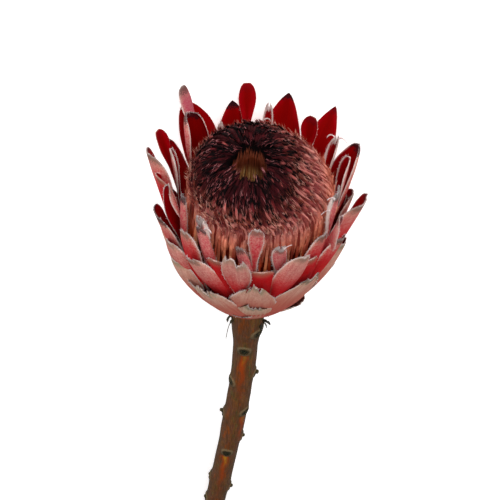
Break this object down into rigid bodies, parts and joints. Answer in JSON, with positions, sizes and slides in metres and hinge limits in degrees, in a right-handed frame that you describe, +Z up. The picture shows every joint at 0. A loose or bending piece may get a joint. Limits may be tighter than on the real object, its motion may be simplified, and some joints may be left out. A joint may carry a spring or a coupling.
{
  "type": "cut protea flower",
  "caption": "Cut protea bloom on its bare woody stem, lying on a surface: cupped pink and red bracts round a dense dome of dark florets with a pale hollow crown.",
  "frame": {"origin": "on the surface that the flower lies on, under the middle of its bounding box", "axes": "+Z up from the surface, +Y along the flower from the stem's cut end to the bloom, +X to the bloom's right as seen from above with the stem towards the viewer"},
  "size_m": [0.0833, 0.3045, 0.0796],
  "materials": {
    "bark": "dry brown-green bark with dark leaf scars and orange streaks",
    "bract": "dusty pink felt outside, satin crimson inside, silver-white fringed margins",
    "floret": "salmon and orange tubes ending in purple-black felted tips",
    "inner_floret": "dry tan, streaked lengthways"
  },
  "bodies": {
    "root": {"stem": "bark", "bracts": "bract", "florets": "floret", "inner_florets": "inner_floret"}
  },
  "joints": []
}
